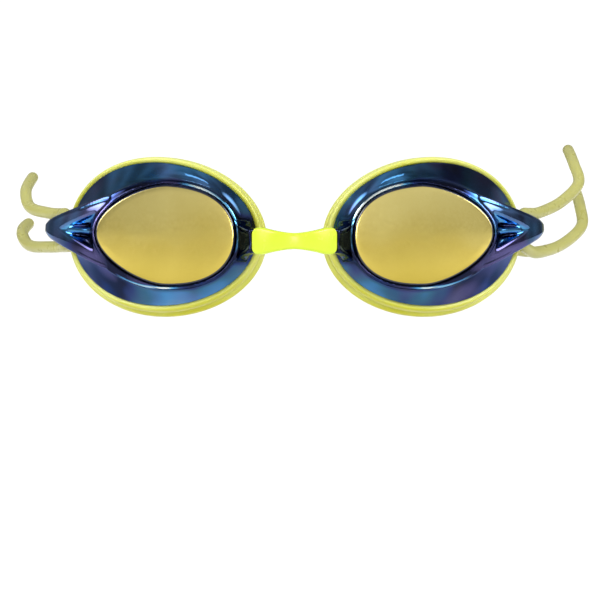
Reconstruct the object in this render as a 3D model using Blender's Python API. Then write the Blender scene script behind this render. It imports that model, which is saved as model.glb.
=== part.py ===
"""Swim goggles: two mirrored lenses in hollow eyecups with soft gaskets, a flexible nose bridge
that is pinned to both eyecups, and a round double strap that is closed by a sleeve clip.

X runs to the wearer's left, Y runs back towards the head, and Z is up. The origin is on the face,
midway between the eyes, at the height of the lens centres. The names say left and right as
someone who faces the wearer sees them, so right is at +X.
"""
import math

import bmesh
import bpy
from mathutils import Vector

MM = 0.001
GAP = 0.3 * MM                      # between two pieces that touch

# Driving dimensions of an eyecup
EYE_HALF_SPACING = 39.0 * MM        # from the middle of the nose to a lens centre
LENS_FORWARD = 15.0 * MM            # the lens edge at the nose stands this far in front of the face
LENS_CENTRE_BACK = 3.2 * MM         # the lens centre lies this far behind that edge
WRAP_ANGLE = math.radians(8.6)      # each lens is turned back towards its temple
RISE_ANGLE = math.radians(3.0)      # each lens' long axis rises towards its temple
LENS_HALF_WIDTH = 21.4 * MM
LENS_HALF_HEIGHT = 15.1 * MM
LENS_THICKNESS = 2.0 * MM
LENS_DOME = 0.5 * MM
BEZEL_WIDTH = 1.0 * MM
BEZEL_RECESS = 0.4 * MM             # the bezel's front lies this far behind the lens' front edge
LEDGE_WIDTH = 1.2 * MM              # what the lens rests on
WALL = 2.0 * MM
RIM_HALF_WIDTH = 30.5 * MM          # the eyecup's rear rim, seen from the front
RIM_HALF_HEIGHT = 22.3 * MM
RIM_SHIFT = 3.7 * MM                # the rim's middle lies this much nearer the temple
RIM_LIFT = 0.1 * MM                 # and this much higher than the lens centre
TONGUE_INSET = 1.0 * MM             # the rim's tongue, which holds the gasket
TONGUE_DEPTH = 2.2 * MM
AROUND = 48                         # points around an eyecup

# Driving dimensions of the gasket
GASKET_END_DEPTH = 6.5 * MM
GASKET_MIDDLE_EXTRA = 2.8 * MM      # it is this much deeper above and below the eye
GASKET_LIP_FLARE = 2.0 * MM
GASKET_LIP_DROP = 0.9 * MM          # its lip lies lower than the rim

# Driving dimensions of the strap arm, a hook that sweeps back from the bezel at the temple
ARM_ROOT = 18.0 * MM                # from the lens centre to where the arm starts to curve back
ARM_ROOT_BACK = 1.1 * MM
ARM_RADIUS = 38.0 * MM
ARM_START = math.radians(18.0)
ARM_END = math.radians(72.0)
BAR_FRONT = 23.9 * MM               # the bar that the strap wraps, behind the lens plane
BAR_THICKNESS = 2.2 * MM
BAR_HALF_HEIGHT = 2.7 * MM

# Driving dimensions of the nose bridge, an arch about a vertical axis
ARCH_RADIUS = 17.5 * MM             # its front surface
ARCH_CENTRE = 2.7 * MM              # its axis lies this far behind the lens edge at the nose
ARCH_THICKNESS = 2.7 * MM
ARCH_DROP = 1.8 * MM                # the bridge lies this far below the lens centres
ARCH_END = math.radians(47.5)
WAIST_HALF_HEIGHT = 2.4 * MM
PAD_HALF_HEIGHT = 4.0 * MM
PAD_REACH = 10.0 * MM               # the pads have their full height from here outwards
PIN_ANGLE = math.radians(40.5)      # where the bridge's pin goes through the eyecup's tab
PIN_HALF_WIDTH = 1.2 * MM
PIN_HALF_HEIGHT = 1.6 * MM
HEAD_OVERHANG = 0.7 * MM            # the pin's head overlaps the hole's edge by about this much
HEAD_THICKNESS = 1.2 * MM
FLEX_AXIS_X = 5.0 * MM              # each half of the bridge bends about a vertical axis here
TAB_START = math.radians(30.0)
TAB_PLATE_OUTSIDE = ARCH_RADIUS - ARCH_THICKNESS - GAP
TAB_PLATE_THICKNESS = 2.3 * MM
TAB_HALF_HEIGHT = 4.3 * MM

# Driving dimensions of the strap and its clip
STRAP_RADIUS = 1.8 * MM
STRAP_BACK = 174.6 * MM             # the clip's middle, behind the lens edge at the nose
STRAP_PITCH = 4.8 * MM              # between the two cords inside the clip
CLIP_HALF_LENGTH = 11.0 * MM
CLIP_HALF_HEIGHT = 2.7 * MM
CLIP_WALL = 0.6 * MM
CLIP_HEIGHT = -2.1 * MM             # the clip's middle lies level with the bridge
CHANNEL_SIDES = 16
SAMPLE_LENGTH = 8.0 * MM            # between two points of the strap's tube

SIDES = (("left", -1), ("right", 1))


def clear_scene():
    """Remove whatever the scene holds."""
    for item in list(bpy.data.objects):
        bpy.data.objects.remove(item, do_unlink=True)


def material(name, colour, roughness, metallic=0.0, alpha=1.0):
    """Make a plain Principled material."""
    made = bpy.data.materials.new(name)
    made.use_nodes = True
    shader = made.node_tree.nodes["Principled BSDF"]
    shader.inputs["Base Color"].default_value = (*colour, 1.0)
    shader.inputs["Roughness"].default_value = roughness
    shader.inputs["Metallic"].default_value = metallic
    shader.inputs["Alpha"].default_value = alpha
    made.diffuse_color = (*colour, 1.0)
    return made


def centred_on(name, location):
    """Add an empty on a joint's axis."""
    empty = bpy.data.objects.new(name, None)
    empty.location = location
    bpy.context.scene.collection.objects.link(empty)
    return empty


def signed_volume(points, faces):
    """Give a closed mesh's volume, which is negative where its faces point inwards."""
    total = 0.0
    for face in faces:
        first = points[face[0]]
        for second, third in zip(face[1:], face[2:]):
            total += first.dot(points[second].cross(points[third]))
    return total / 6


def solid(name, points, faces, surface, parent, guide=False):
    """Add a closed mesh, given in world coordinates, with its origin at its parent."""
    points = [Vector(point) for point in points]
    if signed_volume(points, faces) < 0:
        faces = [tuple(reversed(face)) for face in faces]
    origin = parent.location if parent else Vector()
    mesh = bpy.data.meshes.new(name)
    mesh.from_pydata([point - origin for point in points], [], faces)
    mesh.materials.append(surface)
    mesh.shade_smooth()
    mesh.set_sharp_from_angle(angle=math.radians(35))
    made = bpy.data.objects.new(name, mesh)
    bpy.context.scene.collection.objects.link(made)
    made.parent = parent
    if guide:
        made.hide_render = True
        made.display_type = "WIRE"
    return made


def rungs(first, count):
    """Close a ring with faces that run straight across it, from each point to its mirror image."""
    half = count // 2
    faces = [(first, first + 1, first + count - 1)]
    for k in range(1, half - 1):
        faces.append((first + k, first + k + 1, first + count - k - 1, first + count - k))
    faces.append((first + half - 1, first + half, first + half + 1))
    return faces


def lofted(rings):
    """Join equal rings of points into a body that is closed at both ends."""
    count = len(rings[0])
    points = [Vector(point) for ring in rings for point in ring]
    faces = [tuple(reversed(face)) for face in rungs(0, count)]
    for r in range(len(rings) - 1):
        for k in range(count):
            after = (k + 1) % count
            low, high = r * count, (r + 1) * count
            faces.append((low + k, low + after, high + after, high + k))
    return points, faces + rungs((len(rings) - 1) * count, count)


def ring_shaped(sections):
    """Join equal closed sections, each beside the next, into a ring."""
    count = len(sections[0])
    points = [point for section in sections for point in section]
    faces = []
    for s in range(len(sections)):
        near, far = s * count, ((s + 1) % len(sections)) * count
        for k in range(count):
            after = (k + 1) % count
            faces.append((near + k, near + after, far + after, far + k))
    return points, faces


def combine(target, other, operation):
    """Cut other out of target, or join it to target."""
    boolean = target.modifiers.new(f"{operation.lower()}_{other.name}", "BOOLEAN")
    boolean.operation = operation
    boolean.object = other
    boolean.solver = "EXACT"


def beside(side, x, back, z):
    """Place a point that is measured from the lens edge at the nose, on either side."""
    return Vector((side * x, back - LENS_FORWARD, z))


def on_eyecup(side, out, up, back):
    """Place a point that is measured from a lens centre, along the turned and raised lens."""
    along = out * math.cos(RISE_ANGLE) - up * math.sin(RISE_ANGLE)
    height = out * math.sin(RISE_ANGLE) + up * math.cos(RISE_ANGLE)
    x = EYE_HALF_SPACING + along * math.cos(WRAP_ANGLE) - back * math.sin(WRAP_ANGLE)
    y = LENS_CENTRE_BACK + along * math.sin(WRAP_ANGLE) + back * math.cos(WRAP_ANGLE)
    return beside(side, x, y, height)


def lens_outline(turn, grow=0.0):
    """Give the lens outline's point: an ellipse, slimmer at the temple and fuller at the nose."""
    along = math.cos(turn)
    share = 1 - 0.2 * along ** 1.3 if along > 0 else 1 + 0.14 * along * along
    return (
        (LENS_HALF_WIDTH + grow) * along,
        (LENS_HALF_HEIGHT * share + grow) * math.sin(turn),
    )


def rim_outline(turn, grow=0.0):
    """Give the rear rim's point, an ellipse seen from the front."""
    return (
        RIM_SHIFT + (RIM_HALF_WIDTH + grow) * math.cos(turn),
        RIM_LIFT + (RIM_HALF_HEIGHT + grow) * math.sin(turn),
    )


def rim_depth(turn):
    """Give the rear rim's depth, a saddle that follows the face round to the temple."""
    along = math.cos(turn)
    return (6.6 + 8.7 * along + 11.4 * along * along) * MM


def turns():
    """Give the angles of the points around an eyecup."""
    return [2 * math.pi * k / AROUND for k in range(AROUND)]


def eyecup_ring(side, share, grow, back=0.0):
    """Give the ring of points at a share of the way from the lens to the rear rim."""
    ring = []
    for turn in turns():
        lens_out, lens_up = lens_outline(turn, grow)
        rim_out, rim_up = rim_outline(turn, grow)
        out = lens_out + (rim_out - lens_out) * share
        up = lens_up + (rim_up - lens_up) * share
        ring.append(on_eyecup(side, out, up, rim_depth(turn) * share + back))
    return ring


def flat_ring(side, grow, back):
    """Give a ring that follows the lens' outline at one depth."""
    return [on_eyecup(side, *lens_outline(turn, grow), back) for turn in turns()]


def eyecup_body(side):
    """Loft the eyecup's outside, solid for now, with the tongue behind its rim."""
    bezel = GAP + BEZEL_WIDTH
    tongue = [
        on_eyecup(side, *rim_outline(turn, -TONGUE_INSET), rim_depth(turn) + depth)
        for depth in (0.0, TONGUE_DEPTH)
        for turn in turns()
    ]
    return lofted([
        flat_ring(side, bezel, BEZEL_RECESS),
        flat_ring(side, bezel, 1.5 * MM),
        eyecup_ring(side, 0.4, 0.3 * MM, 0.6 * MM),
        eyecup_ring(side, 0.75, 0.2 * MM),
        eyecup_ring(side, 1.0, 0.0),
        tongue[:AROUND],
        tongue[AROUND:],
    ])


def eyecup_hollow(side):
    """Loft the space for the eye, from in front of the lens to behind the rim."""
    return lofted([
        flat_ring(side, -LEDGE_WIDTH, -3 * MM),
        flat_ring(side, -LEDGE_WIDTH, LENS_THICKNESS + GAP),
        eyecup_ring(side, 0.4, -WALL, 1.2 * MM),
        eyecup_ring(side, 1.0, -WALL),
        eyecup_ring(side, 1.0, -WALL, 4 * MM),
    ])


def lens_pocket(side):
    """Loft the pocket that the lens sits in."""
    return lofted([flat_ring(side, GAP, -3 * MM), flat_ring(side, GAP, LENS_THICKNESS + GAP)])


def lens_body(side):
    """Loft the lens: a low dome in front, flat behind."""
    rings = []
    for share in (0.3, 0.7, 0.94):
        rings.append([
            on_eyecup(side, *[share * size for size in lens_outline(turn)],
                      -LENS_DOME * (1 - share * share))
            for turn in turns()
        ])
    rings.append(flat_ring(side, 0.0, 0.25 * MM))
    rings.append(flat_ring(side, 0.0, LENS_THICKNESS))
    return lofted(rings)


def arm_section(side, out, back, heading, half_height, thickness):
    """Give one section across the arm: a rectangle with cut corners behind its front face."""
    cut = min(0.8 * MM, half_height / 3)
    profile = (
        (-half_height + cut, 0), (half_height - cut, 0), (half_height, cut),
        (half_height, thickness - cut), (half_height - cut, thickness),
        (-half_height + cut, thickness), (-half_height, thickness - cut), (-half_height, cut),
    )
    return [
        on_eyecup(side, out - depth * math.sin(heading), up, back + depth * math.cos(heading))
        for up, depth in profile
    ]


def arm_body(side):
    """Loft the strap arm, from the bezel's flanks round to its tip beside the temple."""
    root_sections = ((8.0, 0.5, 15.4, 6.0), (13.0, 0.7, 13.4, 6.0))
    sections = [
        arm_section(side, out * MM, back * MM, 0.0, half * MM, deep * MM)
        for out, back, half, deep in root_sections
    ]
    stations = ((0.0, 11.2, 6.0), (0.19, 9.5, 5.8), (0.38, 7.5, 5.1), (0.57, 5.7, 4.2),
                (0.76, 4.2, 3.3), (0.9, 3.3, 2.9), (1.0, 2.3, 2.5))
    for share, half, deep in stations:
        heading = ARM_START + (ARM_END - ARM_START) * share
        out = ARM_ROOT + ARM_RADIUS * (math.sin(heading) - math.sin(ARM_START))
        back = ARM_ROOT_BACK + ARM_RADIUS * (math.cos(ARM_START) - math.cos(heading))
        sections.append(arm_section(side, out, back, heading, half * MM, deep * MM))
    return lofted(sections)


def bar_body(side):
    """Build the short bar between the rim and the arm's tip."""
    inner, outer = 31.0 * MM, 40.3 * MM
    rings = []
    for out in (inner, outer):
        rings.append([
            on_eyecup(side, out, up, BAR_FRONT + back)
            for up, back in (
                (-BAR_HALF_HEIGHT, 0.5 * MM), (-BAR_HALF_HEIGHT + 0.5 * MM, 0),
                (BAR_HALF_HEIGHT - 0.5 * MM, 0), (BAR_HALF_HEIGHT, 0.5 * MM),
                (BAR_HALF_HEIGHT, BAR_THICKNESS), (-BAR_HALF_HEIGHT, BAR_THICKNESS),
            )
        ])
    return lofted(rings)


def on_arch(side, angle, radius, up):
    """Place a point that is measured about the nose bridge's vertical axis."""
    x = radius * math.sin(angle)
    return beside(side, x, ARCH_CENTRE - radius * math.cos(angle), up - ARCH_DROP)


def arch_section(side, angle, inside, outside, half_height, cut):
    """Give one section across the arch: a rectangle with cut corners."""
    profile = (
        (inside + cut, -half_height), (outside - cut, -half_height),
        (outside, -half_height + cut), (outside, half_height - cut),
        (outside - cut, half_height), (inside + cut, half_height),
        (inside, half_height - cut), (inside, -half_height + cut),
    )
    return [on_arch(side, angle, radius, up) for radius, up in profile]


def tab_plate(side):
    """Loft the thin end of the nose tab, which lies behind the bridge's pad."""
    inside = TAB_PLATE_OUTSIDE - TAB_PLATE_THICKNESS
    stations = ((0.0, 0.75), (0.08, 1.0), (0.5, 1.0), (1.0, 1.0))
    end = ARCH_END + math.radians(7)
    return lofted([
        arch_section(side, TAB_START + (end - TAB_START) * share, inside, TAB_PLATE_OUTSIDE,
                     TAB_HALF_HEIGHT * height, 0.5 * MM)
        for share, height in stations
    ])


def tab_root(side):
    """Loft the nose tab's thick part, from beside the pad's end back into the eyecup."""
    start = ARCH_END + GAP / ARCH_RADIUS * 1.3
    stations = ((start, 12.6, 4.3), (math.radians(58), 13.4, 4.3), (math.radians(70), 14.0, 4.9),
                (math.radians(82), 14.0, 6.2), (math.radians(100), 14.0, 6.6))
    return lofted([
        arch_section(side, angle, inside * MM, ARCH_RADIUS, half * MM, 0.6 * MM)
        for angle, inside, half in stations
    ])


def radial_block(side, angle, inside, outside, half_width, half_height):
    """Build a block that points away from the arch's axis."""
    across = Vector((side * math.cos(angle), math.sin(angle), 0)) * half_width
    rings = []
    for radius in (inside, outside):
        corners = ((-1, -1), (1, -1), (1, 1), (-1, 1))
        rings.append([
            on_arch(side, angle, radius, high * half_height) + across * wide
            for wide, high in corners
        ])
    return lofted(rings)


def make_eyecup(name, side, hinge, surface):
    """Build one eyecup with its strap arm, bar and nose tab in one piece."""
    eyecup = solid(f"eyecup_{name}", *eyecup_body(side), surface, hinge)
    hole = radial_block(side, PIN_ANGLE, 9 * MM, ARCH_RADIUS, PIN_HALF_WIDTH + GAP,
                        PIN_HALF_HEIGHT + GAP)
    steps = (
        ("arm", arm_body(side), "UNION"),
        ("bar", bar_body(side), "UNION"),
        ("tab_root", tab_root(side), "UNION"),
        ("tab_plate", tab_plate(side), "UNION"),
        ("hollow", eyecup_hollow(side), "DIFFERENCE"),
        ("pocket", lens_pocket(side), "DIFFERENCE"),
        ("pin_hole", hole, "DIFFERENCE"),
    )
    for step, shape, operation in steps:
        other = solid(f"guide_{step}_{name}", *shape, surface, hinge, guide=True)
        combine(eyecup, other, operation)
    return eyecup


def gasket_profile(depth):
    """Give the gasket's section: outwards from the rim, back from the rim, share of the drop."""
    inner = -TONGUE_INSET + GAP
    step = TONGUE_DEPTH + GAP
    lip = GASKET_LIP_FLARE
    return (
        (0.5 * MM, GAP, 0.0), (1.1 * MM, 0.15 * depth, 0.1), (1.2 * MM, 0.38 * depth, 0.3),
        (0.7 * MM, 0.52 * depth, 0.4), (-0.4 * MM, 0.6 * depth, 0.5), (1.5 * MM, 0.68 * depth, 0.8),
        (lip, 0.82 * depth, 1.0), (lip - 0.6 * MM, 0.96 * depth, 1.0), (0.6 * MM, depth, 1.0),
        (-1.8 * MM, 0.95 * depth, 1.0), (-2.6 * MM, 0.75 * depth, 0.6), (-2.3 * MM, step, 0.0),
        (inner, step, 0.0), (inner, GAP, 0.0),
    )


def gasket_body(side):
    """Build the gasket as a ring behind the eyecup's rim, over its tongue."""
    sections = []
    for turn in turns():
        depth = GASKET_END_DEPTH + GASKET_MIDDLE_EXTRA * math.sin(turn) ** 2
        section = []
        for grow, back, drop in gasket_profile(depth):
            out, up = rim_outline(turn, grow)
            up -= GASKET_LIP_DROP * drop
            section.append(on_eyecup(side, out, up, rim_depth(turn) + back))
        sections.append(section)
    return ring_shaped(sections)


def bridge_height(angle):
    """Give half the bridge's height, which grows from its waist to its pads."""
    reach = min(1.0, ARCH_RADIUS * math.sin(abs(angle)) / PAD_REACH)
    return WAIST_HALF_HEIGHT + (PAD_HALF_HEIGHT - WAIST_HALF_HEIGHT) * reach ** 1.6


def make_bridge(surface):
    """Build the nose bridge: an arch with a headed pin behind each pad."""
    inside = ARCH_RADIUS - ARCH_THICKNESS
    steps = 8
    rounded_end = ((0.97, 0.93), (1.0, 0.7))
    half = [(ARCH_END * 0.94 * k / steps, 1.0) for k in range(1, steps + 1)]
    half += [(ARCH_END * share, height) for share, height in rounded_end]
    stations = [(-angle, height) for angle, height in reversed(half)] + [(0.0, 1.0)] + half
    arch = lofted([
        arch_section(1, angle, inside, ARCH_RADIUS, bridge_height(angle) * height, 0.6 * MM)
        for angle, height in stations
    ])
    bridge = solid("nose_bridge", *arch, surface, None)
    plate_inside = TAB_PLATE_OUTSIDE - TAB_PLATE_THICKNESS
    head_outside = plate_inside - GAP
    for name, side in SIDES:
        pin = radial_block(side, PIN_ANGLE, head_outside - HEAD_THICKNESS / 2,
                           inside + ARCH_THICKNESS / 2, PIN_HALF_WIDTH, PIN_HALF_HEIGHT)
        head = radial_block(side, PIN_ANGLE, head_outside - HEAD_THICKNESS, head_outside,
                            PIN_HALF_WIDTH + HEAD_OVERHANG, PIN_HALF_HEIGHT + HEAD_OVERHANG)
        for step, shape in (("pin", pin), ("pin_head", head)):
            other = solid(f"guide_{step}_{name}", *shape, surface, None, guide=True)
            combine(bridge, other, "UNION")
    return bridge


# The strap's route on each side, from the clip by way of the upper cord, round the bar and back
# along the lower cord: distance from the middle, distance behind the lens edge, height, in mm.
# It arches over the temples, a little higher on the right.
STRAP_ROUTES = {
    "left": (
        (0.2, 177.0, -2.1), (9.0, 177.0, -2.1), (20.0, 176.3, -1.9), (39.0, 170.5, 0.0),
        (58.5, 158.5, 3.2), (73.0, 144.0, 5.6), (81.2, 131.0, 7.3), (87.2, 118.0, 9.2),
        (87.7, 105.0, 14.4), (84.2, 85.0, 18.4), (85.0, 65.0, 13.9), (82.8, 53.0, 8.7),
        (76.2, 41.0, 6.8), (72.2, 34.8, 6.5), (70.4, 30.6, 6.4), (69.6, 28.8, 4.6),
        (69.4, 28.3, 1.9), (69.6, 28.8, -0.8), (70.4, 30.6, -2.8), (72.2, 34.8, -3.5),
        (76.0, 41.0, -3.7), (82.9, 53.0, -3.3), (86.2, 65.0, 0.4), (85.5, 84.5, 3.6),
        (88.9, 104.0, 1.2), (87.2, 116.0, -3.4), (80.9, 129.0, -4.0), (72.5, 142.0, -3.8),
        (57.5, 155.5, -3.3), (38.5, 166.3, -2.6), (20.0, 171.5, -2.1), (9.0, 172.2, -2.1),
        (0.2, 172.2, -2.1),
    ),
    "right": (
        (0.2, 177.0, -2.1), (9.0, 177.0, -2.1), (20.0, 176.3, -1.9), (39.0, 172.4, -0.4),
        (58.0, 165.0, 2.2), (73.0, 155.0, 4.7), (81.5, 146.0, 7.2), (88.7, 135.5, 11.0),
        (93.7, 123.5, 17.1), (91.5, 113.0, 23.3), (88.3, 93.5, 27.4), (88.9, 75.0, 22.6),
        (89.7, 65.5, 16.3), (83.4, 54.0, 10.3), (76.0, 41.0, 7.0), (72.2, 34.8, 6.6),
        (70.4, 30.6, 6.5), (69.6, 28.8, 4.7), (69.4, 28.3, 1.9), (69.6, 28.8, -0.8),
        (70.4, 30.6, -3.0), (72.2, 34.8, -4.6), (75.8, 41.0, -5.4), (83.8, 53.5, -2.9),
        (90.6, 65.0, 2.7), (90.9, 75.0, 9.0), (90.8, 93.0, 13.8), (93.4, 111.0, 9.3),
        (94.5, 120.0, 2.8), (88.9, 131.0, -3.1), (80.6, 142.0, -5.6), (72.0, 152.0, -4.9),
        (57.0, 161.0, -3.7), (38.5, 168.0, -2.7), (20.0, 171.5, -2.1), (9.0, 172.2, -2.1),
        (0.2, 172.2, -2.1),
    ),
}


def through(points, share, index):
    """Give a point on the smooth curve through the points, share of the way after one of them."""
    last = len(points) - 1
    before = points[max(index - 1, 0)]
    here = points[index]
    there = points[min(index + 1, last)]
    after = points[min(index + 2, last)]
    leave = (there - before) / 2
    arrive = (after - here) / 2
    return (
        here * (2 * share ** 3 - 3 * share ** 2 + 1)
        + leave * (share ** 3 - 2 * share ** 2 + share)
        + there * (3 * share ** 2 - 2 * share ** 3)
        + arrive * (share ** 3 - share ** 2)
    )


def make_strap(name, side, surface):
    """Lay one half of the strap as a round cord."""
    route = [beside(side, x * MM, back * MM, z * MM) for x, back, z in STRAP_ROUTES[name]]
    samples = []
    for index in range(len(route) - 1):
        length = (route[index + 1] - route[index]).length
        steps = max(1, math.ceil(length / SAMPLE_LENGTH))
        samples += [through(route, step / steps, index) for step in range(steps)]
    samples.append(route[-1])
    curve = bpy.data.curves.new(f"strap_{name}", "CURVE")
    curve.dimensions = "3D"
    curve.bevel_depth = STRAP_RADIUS
    curve.bevel_resolution = 2
    curve.use_fill_caps = True
    curve.materials.append(surface)
    spline = curve.splines.new("POLY")
    spline.points.add(len(samples) - 1)
    for point, sample in zip(spline.points, samples):
        point.co = (*sample, 1.0)
    strap = bpy.data.objects.new(f"strap_{name}", curve)
    bpy.context.scene.collection.objects.link(strap)
    return strap


def make_clip(surface):
    """Build the sleeve clip with its two round channels; its origin is its own middle."""
    middle = centred_on("clip_middle", beside(1, 0, STRAP_BACK, CLIP_HEIGHT))
    channel_radius = STRAP_RADIUS + GAP
    half_depth = STRAP_PITCH / 2 + channel_radius + CLIP_WALL
    cut = 0.5 * MM
    profile = (
        (-half_depth, -CLIP_HALF_HEIGHT + cut), (-half_depth + cut, -CLIP_HALF_HEIGHT),
        (half_depth - cut, -CLIP_HALF_HEIGHT), (half_depth, -CLIP_HALF_HEIGHT + cut),
        (half_depth, CLIP_HALF_HEIGHT - cut), (half_depth - cut, CLIP_HALF_HEIGHT),
        (-half_depth + cut, CLIP_HALF_HEIGHT), (-half_depth, CLIP_HALF_HEIGHT - cut),
    )
    rings = [
        [middle.location + Vector((x, y, z)) for y, z in profile]
        for x in (-CLIP_HALF_LENGTH, CLIP_HALF_LENGTH)
    ]
    clip = solid("rear_clip", *lofted(rings), surface, middle)
    for place, offset in (("front", -STRAP_PITCH / 2), ("back", STRAP_PITCH / 2)):
        rings = []
        for x in (-CLIP_HALF_LENGTH - 1 * MM, CLIP_HALF_LENGTH + 1 * MM):
            rings.append([
                middle.location + Vector((
                    x,
                    offset + channel_radius * math.cos(2 * math.pi * k / CHANNEL_SIDES),
                    channel_radius * math.sin(2 * math.pi * k / CHANNEL_SIDES),
                ))
                for k in range(CHANNEL_SIDES)
            ])
        channel = solid(f"guide_channel_{place}", *lofted(rings), surface, middle, guide=True)
        combine(clip, channel, "DIFFERENCE")
    return clip


def build():
    """Build every piece."""
    clear_scene()
    mirror = material("mirrored_lens", (0.55, 0.43, 0.12), 0.12, metallic=1.0)
    blue = material("tinted_blue", (0.03, 0.09, 0.25), 0.08, alpha=0.8)
    seal = material("gasket_silicone", (0.78, 0.76, 0.12), 0.45)
    neon = material("bridge_yellow", (0.85, 0.95, 0.05), 0.4)
    cord = material("strap_silicone", (0.62, 0.58, 0.22), 0.4)
    clear = material("clip_plastic", (0.6, 0.62, 0.3), 0.25)
    bend = on_arch(1, math.asin(FLEX_AXIS_X / ARCH_RADIUS), ARCH_RADIUS - ARCH_THICKNESS / 2, 0.0)
    for name, side in SIDES:
        hinge = centred_on(f"flex_axis_{name}", (side * FLEX_AXIS_X, bend.y, bend.z))
        make_eyecup(name, side, hinge, blue)
        solid(f"lens_{name}", *lens_body(side), mirror, hinge)
        solid(f"gasket_{name}", *gasket_body(side), seal, hinge)
        make_strap(name, side, cord)
    make_bridge(neon)
    make_clip(clear)
    bpy.context.view_layer.update()


build()
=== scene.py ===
import math

import bmesh
import bpy
import numpy as np
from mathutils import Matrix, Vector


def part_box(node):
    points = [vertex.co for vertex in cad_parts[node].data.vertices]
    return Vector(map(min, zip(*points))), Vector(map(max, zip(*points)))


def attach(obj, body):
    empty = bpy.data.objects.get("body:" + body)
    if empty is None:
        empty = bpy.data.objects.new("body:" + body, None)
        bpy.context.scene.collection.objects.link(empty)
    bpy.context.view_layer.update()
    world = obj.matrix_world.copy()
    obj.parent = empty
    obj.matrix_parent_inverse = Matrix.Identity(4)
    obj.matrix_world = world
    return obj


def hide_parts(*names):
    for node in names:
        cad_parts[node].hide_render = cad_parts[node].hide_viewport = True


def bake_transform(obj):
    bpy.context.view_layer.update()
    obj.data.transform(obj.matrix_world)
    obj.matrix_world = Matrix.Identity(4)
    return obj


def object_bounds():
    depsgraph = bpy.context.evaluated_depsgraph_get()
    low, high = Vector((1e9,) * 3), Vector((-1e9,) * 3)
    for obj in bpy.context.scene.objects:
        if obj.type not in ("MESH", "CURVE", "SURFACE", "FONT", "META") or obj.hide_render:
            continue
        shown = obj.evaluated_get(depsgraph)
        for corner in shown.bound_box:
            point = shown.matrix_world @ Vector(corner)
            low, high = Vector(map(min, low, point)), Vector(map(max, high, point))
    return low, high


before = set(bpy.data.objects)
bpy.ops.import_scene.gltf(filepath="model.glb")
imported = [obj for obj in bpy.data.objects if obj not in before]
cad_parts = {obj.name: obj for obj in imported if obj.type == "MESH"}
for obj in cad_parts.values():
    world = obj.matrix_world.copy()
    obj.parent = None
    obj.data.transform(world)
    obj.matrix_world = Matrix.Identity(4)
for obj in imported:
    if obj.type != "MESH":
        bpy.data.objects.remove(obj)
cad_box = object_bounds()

import openvdb
from mathutils import Vector

MM = 0.001
GAP = 0.3 * MM

# The eyecup's driving dimensions, as the CAD model has them
EYE_HALF_SPACING = 39.0 * MM
LENS_FORWARD = 15.0 * MM
LENS_CENTRE_BACK = 3.2 * MM
WRAP_ANGLE = math.radians(8.6)
RISE_ANGLE = math.radians(3.0)
LENS_HALF_WIDTH = 21.4 * MM
LENS_HALF_HEIGHT = 15.1 * MM
LENS_THICKNESS = 2.0 * MM
LENS_DOME = 0.5 * MM
BEZEL_WIDTH = 1.0 * MM
BEZEL_RECESS = 0.4 * MM
LEDGE_WIDTH = 1.2 * MM
WALL = 2.0 * MM
RIM_HALF_WIDTH = 30.5 * MM
RIM_HALF_HEIGHT = 22.3 * MM
RIM_SHIFT = 3.7 * MM
RIM_LIFT = 0.1 * MM
TONGUE_INSET = 1.0 * MM
TONGUE_DEPTH = 2.2 * MM

# The gasket's
GASKET_END_DEPTH = 6.5 * MM
GASKET_MIDDLE_EXTRA = 2.8 * MM
GASKET_LIP_FLARE = 2.0 * MM
GASKET_LIP_DROP = 0.9 * MM

# The strap arm's
ARM_ROOT = 18.0 * MM
ARM_ROOT_BACK = 1.1 * MM
ARM_RADIUS = 38.0 * MM
ARM_START = math.radians(18.0)
ARM_END = math.radians(72.0)
RIB_WIDTH = 1.8 * MM                # the ribs along the arm's edges, with a groove inside each
GROOVE_DEPTH = 0.7 * MM
TRIANGLE_DEPTH = 1.7 * MM           # the sunken triangle in the arm's front, from the lens centre
TRIANGLE_BASE = 22.5 * MM
TRIANGLE_TIP = 35.5 * MM
TRIANGLE_HALF_HEIGHT = 5.6 * MM
FIN_HALF_WIDTH = 0.6 * MM           # the fin along the triangle's middle
POCKET_DEPTH = 1.3 * MM             # a leaf-shaped pocket on each side of the fin
POCKET_START = 23.4 * MM
POCKET_END = 30.0 * MM
BAR_FRONT = 23.9 * MM
BAR_THICKNESS = 2.2 * MM
BAR_HALF_HEIGHT = 2.7 * MM

# The nose bridge's
ARCH_RADIUS = 17.5 * MM
ARCH_CENTRE = 2.7 * MM
ARCH_THICKNESS = 2.7 * MM
ARCH_DROP = 1.8 * MM
ARCH_END = math.radians(47.5)
WAIST_HALF_HEIGHT = 2.4 * MM
PAD_HALF_HEIGHT = 4.0 * MM
PAD_REACH = 10.0 * MM
PIN_ANGLE = math.radians(40.5)
PIN_HALF_WIDTH = 1.2 * MM
PIN_HALF_HEIGHT = 1.6 * MM
HEAD_OVERHANG = 0.7 * MM
HEAD_THICKNESS = 1.2 * MM
TAB_START = math.radians(30.0)
TAB_PLATE_OUTSIDE = ARCH_RADIUS - ARCH_THICKNESS - GAP
TAB_PLATE_THICKNESS = 2.3 * MM

# The strap's
STRAP_RADIUS = 1.8 * MM
STRAP_PITCH = 4.8 * MM              # between the two cords inside the clip

WINDOW_STRENGTH = 10.0              # of the studio's two bright windows, in reflections
AROUND = 160                        # points around an eyecup
VOXEL = 0.3 * MM                    # the eyecup is built on a grid of this size


# Materials

def new_material(name):
    """Start a material and give it with its node tree and its shader."""
    made = bpy.data.materials.new(name)
    made.use_nodes = True
    tree = made.node_tree
    return made, tree, tree.nodes["Principled BSDF"]


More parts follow.
